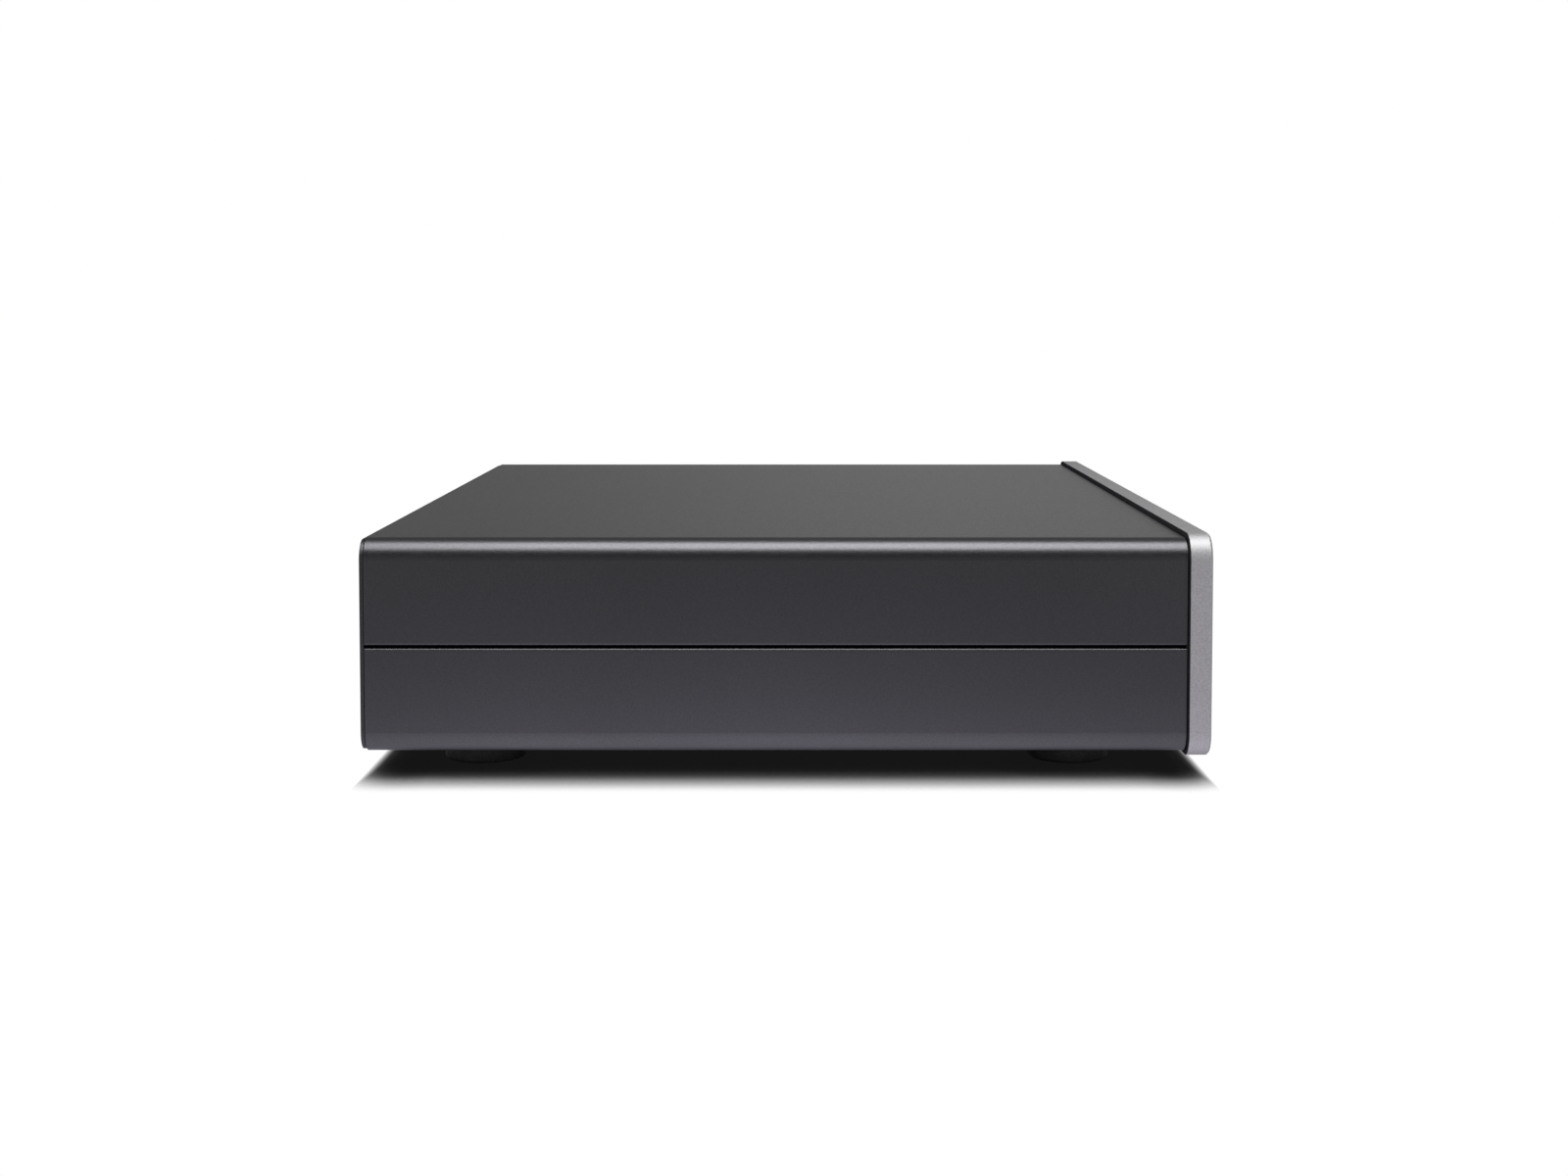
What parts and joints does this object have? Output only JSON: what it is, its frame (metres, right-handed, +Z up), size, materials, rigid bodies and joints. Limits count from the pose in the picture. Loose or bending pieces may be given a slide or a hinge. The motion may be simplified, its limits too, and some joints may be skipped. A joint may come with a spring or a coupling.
{
  "type": "network music streamer",
  "caption": "Half-width hi-fi network streamer: rounded charcoal case in halves, thick grey front panel with push buttons, rear audio, network and mains sockets.",
  "frame": {"origin": "on the shelf, under the centre of the bounding box", "axes": "+X to the right as seen from the front, +Y to the rear, +Z up; the front panel faces -Y"},
  "size_m": [0.215, 0.191, 0.0527],
  "materials": {
    "panel_metal": "fine bead-blasted, light grey",
    "button_metal": "satin, light grey",
    "case_metal": "fine textured charcoal coat",
    "rear_metal": "matt dark grey",
    "black_plastic": "satin black",
    "foot_rubber": "matt black",
    "screw_steel": "black zinc",
    "brass": "plain",
    "gold_plate": "gold plated",
    "bright_metal": "bright nickel",
    "white_plastic": "satin white",
    "red_plastic": "satin red",
    "orange_plastic": "satin orange",
    "light_plastic": "clear to milky",
    "board_green": "solder mask",
    "board_tan": "plain laminate",
    "dark_parts": "satin",
    "wound_core": "ferrite and copper",
    "cable": "cable jacket"
  },
  "bodies": {
    "chassis": {"front_panel": "panel_metal", "front_frame": "black_plastic", "top_cover": "case_metal", "bottom_tray": "case_metal", "rear_panel": "rear_metal", "foot_front_left": "foot_rubber", "foot_front_right": "foot_rubber", "foot_rear_left": "foot_rubber", "foot_rear_right": "foot_rubber", "foot_screws": "screw_steel", "case_screws": "screw_steel", "fascia_nuts": "screw_steel", "standoffs": "brass", "tray_screws": "screw_steel", "board_screws": "screw_steel", "light_guide": "light_plastic", "indicator_led": "light_plastic", "front_board": "board_green", "front_switches": "black_plastic", "setup_switch": "black_plastic", "mains_inlet": "black_plastic", "mains_pins": "bright_metal", "phono_blocks": "black_plastic", "phono_shells": "gold_plate", "line_left_insert": "white_plastic", "line_right_insert": "red_plastic", "coaxial_insert": "orange_plastic", "optical_socket": "black_plastic", "usb_shell": "bright_metal", "usb_tongue": "white_plastic", "ethernet_shield": "bright_metal", "ethernet_insert": "black_plastic", "antenna_jacks": "gold_plate", "antenna_nuts": "gold_plate", "antenna_cores": "white_plastic", "main_board": "board_green", "main_chips": "dark_parts", "filter_capacitors": "dark_parts", "network_board": "board_green", "network_shield": "bright_metal", "board_headers": "white_plastic", "power_board": "board_tan", "power_transformer": "wound_core", "bulk_capacitor": "dark_parts", "mains_choke": "wound_core", "heatsink": "dark_parts", "ribbon_cable": "cable", "leads": "cable"},
    "power_button": {"power_button": "button_metal", "power_plunger": "black_plastic"},
    "setup_button": {"setup_button": "black_plastic"},
    "optical_shutter": {"optical_shutter": "black_plastic"},
    "preset_button_1": {"preset_button_1": "button_metal", "preset_plunger_1": "black_plastic"},
    "preset_button_2": {"preset_button_2": "button_metal", "preset_plunger_2": "black_plastic"},
    "preset_button_3": {"preset_button_3": "button_metal", "preset_plunger_3": "black_plastic"},
    "preset_button_4": {"preset_button_4": "button_metal", "preset_plunger_4": "black_plastic"}
  },
  "joints": [
    {"name": "power_button_press", "type": "slide", "parent": "chassis", "child": "power_button", "axis": [0, 1, 0], "range_m": [0, 0.0005], "stiffness_N_per_m": 2000, "springref_m": -0.0005},
    {"name": "preset_button_1_press", "type": "slide", "parent": "chassis", "child": "preset_button_1", "axis": [0, 1, 0], "range_m": [0, 0.0005], "stiffness_N_per_m": 2000, "springref_m": -0.0005},
    {"name": "preset_button_2_press", "type": "slide", "parent": "chassis", "child": "preset_button_2", "axis": [0, 1, 0], "range_m": [0, 0.0005], "stiffness_N_per_m": 2000, "springref_m": -0.0005},
    {"name": "preset_button_3_press", "type": "slide", "parent": "chassis", "child": "preset_button_3", "axis": [0, 1, 0], "range_m": [0, 0.0005], "stiffness_N_per_m": 2000, "springref_m": -0.0005},
    {"name": "preset_button_4_press", "type": "slide", "parent": "chassis", "child": "preset_button_4", "axis": [0, 1, 0], "range_m": [0, 0.0005], "stiffness_N_per_m": 2000, "springref_m": -0.0005},
    {"name": "setup_button_press", "type": "slide", "parent": "chassis", "child": "setup_button", "axis": [0, -1, 0], "range_m": [0, 0.0005], "stiffness_N_per_m": 2000, "springref_m": -0.0005},
    {"name": "optical_shutter_hinge", "type": "hinge", "parent": "chassis", "child": "optical_shutter", "pos_m": [0.02488, 0.0862, 0.026], "axis": [-1, 0, 0], "range_deg": [0, 80], "stiffness_Nm_per_rad": 0.0004, "springref_deg": -22.92}
  ]
}
